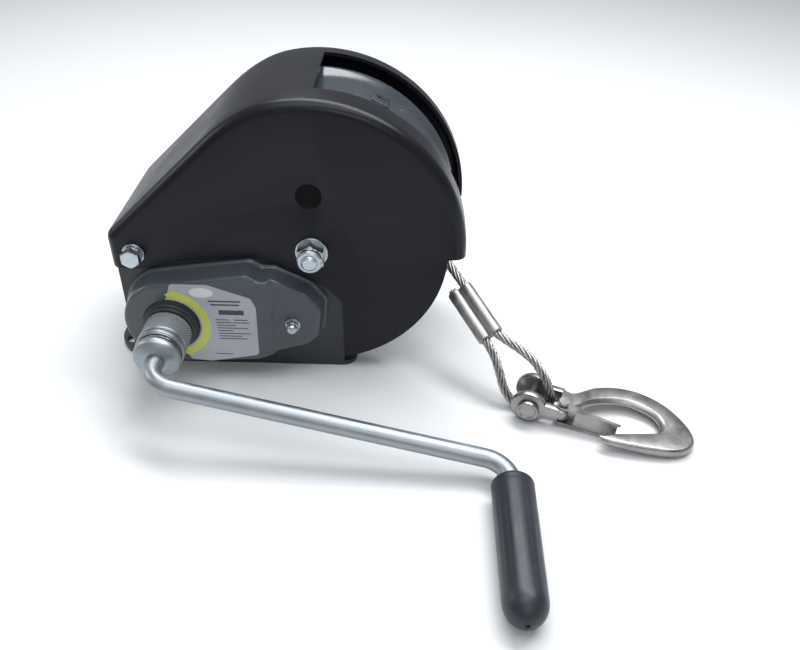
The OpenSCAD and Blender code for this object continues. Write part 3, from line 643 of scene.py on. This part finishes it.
# The front wall is two faces, split above and below the dimple
front_wall = columns[0] + cover.ring([(x, -COVER_Y, z) for x, z in lower_edge])
above = min(range(len(rim)), key=lambda i: abs(rim[i][0] - DIMPLE_AT[0]) - 10 * (rim[i][1] > 200))
below = len(rim) + min(range(len(opening)), key=lambda i: abs(opening[i][0] - DIMPLE_AT[0]))
DIMPLE_POINTS = 32
dimple = [cover.ring([(DIMPLE_AT[0] + r * math.sin(a), -COVER_Y + deep, DIMPLE_AT[1] + r * math.cos(a))
                      for a in round_angles(DIMPLE_POINTS)])
          for r, deep in ((DIMPLE_R, 0), (DIMPLE_R - 0.6, 0.3), (DIMPLE_R - 1.3, 1.1), (DIMPLE_R - 2.4, 1.7))]
# The dimple's faces take the second material, painted darker as shade.
for a, b in zip(dimple, dimple[1:]):
    cover.bridge(a, b, kind=1)
cover.face(dimple[-1], 1)
edge = dimple[0] + dimple[0][:1]             # from its top round to its top again
cover.face(front_wall[above:below + 1] + edge[DIMPLE_POINTS // 2:])
cover.face(front_wall[below:] + front_wall[:above + 1] + edge[:DIMPLE_POINTS // 2 + 1])
cover.face(columns[-1] + cover.ring([(x, COVER_Y, z) for x, z in lower_edge]))
cover_piece = cover.make("cover_shell", [COVER, DIMPLE_SHADE], "winch_frame", ["cover"], sharp=32)
thicken(cover_piece, 3.0, even_offset=True)
soften(cover_piece, 0.5, 50)


# ---- Rope guard, seen through the slot ----

# (distance in from GUARD_R, Y) across the guard: its body lies lower than the lip along its rear edge
GUARD_SECTION = [(2.4, -38), (2.4, -20), (2.4, 2), (2.3, 8), (2.05, 14), (1.55, 18.5), (0.8, 22), (-0.2, 25),
                 (-1.3, 27.6), (-2.1, 29.5), (-2.5, 31), (-2.4, 32.4), (-1.8, 33.7), (-0.8, 34.6), (0.4, 35)]
GUARD_FROM, GUARD_TURN, GUARD_STEPS = 12, 138, 60    # degrees about the axle
guard = Shape()
grid = [guard.ring([(AXLE[0] + (GUARD_R - d) * math.cos(a), y, AXLE[1] + (GUARD_R - d) * math.sin(a))
                    for a in (math.radians(GUARD_FROM + GUARD_TURN * i / GUARD_STEPS)
                              for i in range(GUARD_STEPS + 1))]) for d, y in GUARD_SECTION]
for a, b in zip(grid, grid[1:]):
    guard.bridge(a, b, closed=False)
guard_piece = guard.make("guard_skin", [GUARD], "winch_frame", ["rope_guard"], sharp=50)
thicken(guard_piece, 2.4)

PAD_ANGLE, PAD_Y, PAD_HALF, PAD_HOLE = math.radians(62), 9, 7.5, 4.0


def on_pad(along_rim, y, out):
    """A place on the guard: along_rim and y across the pad, out from its face."""
    radial = Vector((math.cos(PAD_ANGLE), 0, math.sin(PAD_ANGLE)))
    tangent = Vector((-math.sin(PAD_ANGLE), 0, math.cos(PAD_ANGLE)))
    return Vector((AXLE[0], PAD_Y + y, AXLE[1])) + radial * (GUARD_R - 2.4 + out) + tangent * along_rim


def square(half):
    """A square with rounded corners."""
    r = 1.2
    return rounded([(half, half, r), (-half, half, r), (-half, -half, r), (half, -half, r)], 7)


angles = [math.atan2(y, x) for x, y in square(PAD_HALF)]
pad = Shape()
pad.rings([[on_pad(x, y, h) for x, y in square(s)]
           for s, h in ((PAD_HALF, -0.8), (PAD_HALF, 0.55), (PAD_HALF - 0.3, 0.9))]
          + [[on_pad(r * math.cos(a), r * math.sin(a), h) for a in angles]
             for r, h in ((5.3, 0.95), (5.1, 1.3), (4.3, 1.35), (PAD_HOLE, 1.0), (PAD_HOLE, -1.2))],
          caps=False)
pad.make("guard_pad", [GUARD], "winch_frame", sharp=50)


# ---- Gear and brake housing, with its label ----

ROUND_STEPS = 22


def housing_outline(r, chain):
    """Round the shaft from 112 to 268 degrees, then through the chain's (x, z, corner radius) points."""
    round_end = arc(SHAFT, r, 112, 268, ROUND_STEPS)
    return round_end + corners([(*round_end[-1], 0)] + chain + [(*round_end[0], 0)])


FRONT = housing_outline(36.6, [(-12, 17, 12), (26, 19.4, 12), (40, 25.6, 10), (64, 33, 10), (73.5, 42, 8),
                               (76.4, 66, 8), (66, 79.6, 8), (40, 93.4, 7), (31, 92.6, 6), (22.4, 98.4, 7),
                               (2, 95.4, 10)])
BACK = housing_outline(39, [(-12, 15.4, 12), (27, 17.6, 12), (41, 24, 10), (66, 30.8, 10), (76.6, 40.6, 8),
                            (79, 66.6, 8), (68.4, 81.2, 8), (41, 95.4, 7), (32, 94.8, 6), (23.4, 100.4, 7),
                            (1.8, 97.4, 10)])
EAR_FROM, EAR_TO, EAR_DROP = 36.5, 40.5, 3.4     # the face steps down to its ear between these X
EAR_BASE = 60                                # where the walls start to follow the ear's step
HOLE_R, HOLE_POINTS, EDGE = 21.2, 64, 3.2        # hole round the hub, round along the front edge

# (inset, distance in front) up the flange and the walls
FLANGE = [(0, 56.1), (0, 57.6), (0.5, 58.4), (1.6, 58.8), (4.5, 58.9)]
WALLS = [(-1.4, 58.7), (-0.5, 59.3), (-0.1, 60.6), (0.3, 67)]
WALLS += [(0.8 + EDGE * (1 - math.cos(math.radians(15 * i))),
           HOUSING_FACE - EDGE + EDGE * math.sin(math.radians(15 * i))) for i in range(7)]
housing = Shape()
housing.rings([[(x, -d, z) for x, z in inset(BACK, i)] for i, d in FLANGE], caps=False)
rim_of_face = housing.rings([[(x, -d, z) for x, z in inset(FRONT, i)] for i, d in WALLS], caps=False)[-1]
hole = housing.rings([[on_shaft(r * math.sin(a), d, r * math.cos(a)) for a in round_angles(HOLE_POINTS)]
                      for r, d in ((HOLE_R, HOUSING_FACE), (HOLE_R - 0.15, HOUSING_FACE - 0.4),
                                   (HOLE_R - 0.2, 74.6))], caps=False)[0]
hole = hole + hole[:1]                       # from its top round to its top again
housing.face(rim_of_face[:ROUND_STEPS + 1] + hole[HOLE_POINTS // 2:])
housing.face(rim_of_face[ROUND_STEPS:] + rim_of_face[:1] + hole[:HOLE_POINTS // 2 + 1])
housing_piece = housing.make("housing_shell", [HOUSING], "winch_frame", ["gear_cover"],
                             sharp=40)

work = bmesh.new()
work.from_mesh(housing_piece.data)
for x in (EAR_FROM, (EAR_FROM + EAR_TO) / 2, EAR_TO):
    bmesh.ops.bisect_plane(work, geom=work.verts[:] + work.edges[:] + work.faces[:], plane_co=(x * MM, 0, 0),
                           plane_no=(1, 0, 0))
for v in work.verts:
    outwards = max(0.0, min(1.0, (-v.co.y / MM - EAR_BASE) / (HOUSING_FACE - EDGE - EAR_BASE)))
    v.co.y += EAR_DROP * MM * ease((v.co.x / MM - EAR_FROM) / (EAR_TO - EAR_FROM)) * outwards
work.to_mesh(housing_piece.data)
work.free()
housing_piece.data.shade_smooth()
housing_piece.data.set_sharp_from_angle(angle=math.radians(40))

label = Shape()
LABEL_D = HOUSING_FACE + 0.12
PRINT, PRINT_YELLOW, PRINT_INK, PRINT_PALE = 0, 1, 2, 3


def mark(points, lift, kind):
    """A thin printed area on the housing's face."""
    label.face(label.ring([(x, -(LABEL_D + lift), z) for x, z in points]), kind)


film = rounded([(-35.0, 89.6, 3), (-7, 89.7, 9), (24.5, 78.4, 5), (27.6, 70, 3), (26.2, 26, 4),
                (-11, 19.0, 5), (-27, 20.6, 2)], 5)
mark(film + arc(SHAFT, 22.3, -78, 93, 40), 0.1, PRINT)
mark(arc(SHAFT, 30, -66, 76, 40) + arc(SHAFT, 23.8, 76, -66, 40), 0.14, PRINT_YELLOW)
for base, tip in ((75, 93), (-65, -83)):     # the arrow's two heads, in degrees about the shaft
    mark([tuple(Vector(SHAFT) + r * direction(a)) for r, a in ((32.4, base), (27, tip), (22.3, base))], 0.15,
         PRINT_YELLOW)
mark([(-11.5 + 8.8 * math.cos(a), 82.6 + 4.3 * math.sin(a)) for a in round_angles(40)], 0.15, PRINT_PALE)
# Plain lines where the label has its text: (from, to, height, thickness)
for x0, x1, z, thick in ((-7.5, 16.5, 75.3, 1.3), (-6.0, 15.5, 72.2, 1.3), (-0.5, 18.2, 65.4, 4.2),
                         (-3.7, 6.5, 58.6, 0.8), (10, 20.5, 58.6, 0.8), (-3.5, 21.8, 56.1, 0.8),
                         (-3.2, 11, 53.6, 0.8), (-3.0, 20, 51.1, 0.8), (-2.8, 9, 48.6, 0.8),
                         (-2.6, 22, 46.1, 0.8), (-2.4, 15, 43.6, 0.8), (-2.2, 18.6, 41.1, 0.8),
                         (-7, 6, 26.4, 0.7)):
    mark([(x0, z - thick / 2), (x1, z - thick / 2), (x1, z + thick / 2), (x0, z + thick / 2)], 0.15,
         PRINT_INK)
label.make("label_print", [FILM, YELLOW, INK, PALE], "winch_frame", ["label"], sharp=30)


# ---- Crank ----

CAP_FRONT, THROW, BEND_R, ROD_R = 124.5, 253.0, 20.0, 6.6
ARM_START, ARM_END = 146.4, 174.7            # how far in front the arm starts and ends
GRIP_BACK, GRIP_L = 193.0, 106.0
GRIP_FRONT = GRIP_BACK + GRIP_L
JOURNAL_R, GRIP_BORE_R = 6.2, 6.3
sweep = 90 - math.degrees(math.atan2(ARM_END - ARM_START, THROW))
bend_cut = BEND_R * math.tan(math.radians(sweep / 2))
BEND_STEPS = 16
bar_line = ([(0, CAP_FRONT - 2), (0, CAP_FRONT + 1.5)]
            + arc((BEND_R, ARM_START - bend_cut), BEND_R, 180, 180 - sweep, BEND_STEPS)
            + arc((THROW - BEND_R, ARM_END + bend_cut), BEND_R, -sweep, 0, BEND_STEPS)
            + [(THROW, GRIP_BACK - 0.3)])
bar_path = [Vector(on_crank(x, d, 0)) for x, d in bar_line]
arm = 2 + BEND_STEPS + 1                     # index of the arm's outer end
bar_path[arm:arm] = [bar_path[arm - 1].lerp(bar_path[arm], t) for t in (0.02, 0.25, 0.5, 0.75, 0.98)]


def on_grip(x, d, z):
    return on_crank(THROW + x, d, z)


bar = Shape()
bar.rings([[p + ROD_R * (math.cos(a) * u + math.sin(a) * v) for a in round_angles(40)]
           for p, (u, v) in zip(bar_path, frames(bar_path))])
lathe(bar, [(GRIP_BACK - 1, JOURNAL_R), (GRIP_FRONT - 9, JOURNAL_R)], on_grip, 40)
bar.make("crank_bar", [CRANK_ZINC], "crank", ["crank_rod"], sharp=50)

CLIP_R, CLIP_FRONT, CLIP_BACK = 9.6, GRIP_FRONT - 7, GRIP_FRONT - 15.6     # room for the clip inside the grip
grip_profile = ([(CLIP_FRONT, 0), (CLIP_FRONT, CLIP_R), (CLIP_BACK, CLIP_R), (CLIP_BACK, GRIP_BORE_R)]
                + [(GRIP_BACK + d, r) for d, r in ((0, GRIP_BORE_R), (0, 12.0), (0.5, 13.2), (1.6, 14.1),
                                                   (3.4, 14.5), (5, 14.1), (6.4, 14.4))]
                + [(GRIP_BACK + 9 + i * (GRIP_L - 25) / 8, 14.35 - 0.55 * i / 8) for i in range(9)]
                + [(GRIP_FRONT - 15.5 + 15.5 * math.sin(math.radians(a)), 13.8 * math.cos(math.radians(a)))
                   for a in (10, 22, 34, 46, 58, 70, 78)]
                + [(GRIP_FRONT - d, r) for d, r in ((0, 1.9), (0.3, 1.4), (1.4, 1.1), (1.6, 0))])


def flutes(a, d, r):
    """Shallow flutes along the middle of the grip."""
    t = max(0.0, min(1.0, (d - GRIP_BACK - 9) / 8)) * max(0.0, min(1.0, (GRIP_FRONT - 20 - d) / 12))
    return -0.16 * t * (0.5 + 0.5 * math.cos(14 * a)) ** 3


grip = Shape()
lathe(grip, grip_profile, on_grip, 168, flutes)
grip.make("grip_moulding", [GRIP], "hand_grip", ["grip"], sharp=45)

SLEEVE_SIDES = 200
KNURL_FROM, KNURL_TO, KNURL_R = 86.8, 103.5, 17.35
knurled = [(KNURL_FROM + 0.1 + 0.33 * i, KNURL_R) for i in range(51)]


def diamonds(a, d, r):
    """Diamond knurling over the rear stretch of the sleeve."""
    if not KNURL_FROM < d < KNURL_TO or r < 17:
        return 0
    k = SLEEVE_SIDES / 4 / (2 * math.pi)
    p, q = (a * k + d * 0.36) % 1, (a * k - d * 0.36) % 1
    return 0.5 * (min(p, 1 - p) + min(q, 1 - q)) - 0.4


sleeve = Shape()
lathe(sleeve, [(86.2, 14.9), (86.2, 16.4), (KNURL_FROM, 17.0)] + knurled
      + [(103.9, 17.1), (104.2, 16.6), (104.5, 16.5), (105.5, 16.5), (105.9, 17.2), (106.4, 17.6),
         (107, 17.7), (110.1, 17.7), (110.6, 17.5), (110.8, 17.1), (111.4, 17.1), (111.6, 17.4),
         (112, 17.6), (112.4, 17.4), (112.6, 17.0), (112.6, 16.4), (101.6, 16.4), (101.6, 14.9),
         (86.2, 14.9)],
      on_shaft, SLEEVE_SIDES, diamonds)
# Faces in the knurl's hollows get the darker zinc, a painted shade; the crests get the knurl's own zinc.
for f, face in enumerate(sleeve.faces):
    x, y, z = (sum(sleeve.points[i][c] for i in face) / len(face) for c in range(3))
    r = math.hypot(x - SHAFT[0], z - SHAFT[1])
    if 86.9 < -y < 103.4 and r > 16.8:
        sleeve.kinds[f] = 1 if r < 17.14 else 2
sleeve.make("sleeve_knurled", [CRANK_ZINC, KNURL_HOLLOW_SHADE, KNURL], "release_sleeve",
            ["knurled_sleeve"], sharp=60)


# ---- Materials on the CAD's own pieces ----

LOOKS = (
    (FRAME_PAINT, "frame drum"),
    (ZINC, "axle_bolt axle_nut axle_washers tie_bolt tie_nut tie_washers pawl_pin cover_stud cover_nut "
           "rope_clamp clamp_screws"),
    (DARK_STEEL, "axle_spacer tie_spacer ratchet_wheel pawl_spring drum_gear pinion_shaft brake_hub "
                 "locking_balls sleeve_spring grip_clip pawl"),
    (BRONZE, "shaft_bushes drum_bushes"),
    (BLACK_OXIDE, "shaft_circlip"),
    (FRICTION, "friction_discs"),
    (HUB, "drive_hub"),
    (CRANK_ZINC, "crank_socket"),
    (HOOK_ZINC, "pin_clip latch_rivet latch latch_spring"),
)
for material, names in LOOKS:
    for name in names.split():
        slots = nodes[name].data.materials
        slots.clear()
        slots.append(material)

SOFT_EDGES = {"frame": 0.6, "axle_bolt": 0.4, "axle_nut": 0.35, "axle_washers": 0.3, "tie_bolt": 0.35,
              "tie_nut": 0.35, "tie_washers": 0.25, "cover_nut": 0.2, "drive_hub": 0.4, "crank_socket": 0.3,
              "latch": 0.3, "drum_gear": 0.3}
for name, width in SOFT_EDGES.items():
    nodes[name].modifiers.new("weld", "WELD").merge_threshold = 2e-6
    soften(nodes[name], width, 35)

mesh = bpy.data.meshes.new("floor")
mesh.from_pydata([(-4, -3, 0), (4, -3, 0), (4, 6, 0), (-4, 6, 0)], [], [(0, 1, 2, 3)])
mesh.materials.append(FLOOR)
floor = bpy.data.objects.new("floor", mesh)
bpy.context.scene.collection.objects.link(floor)
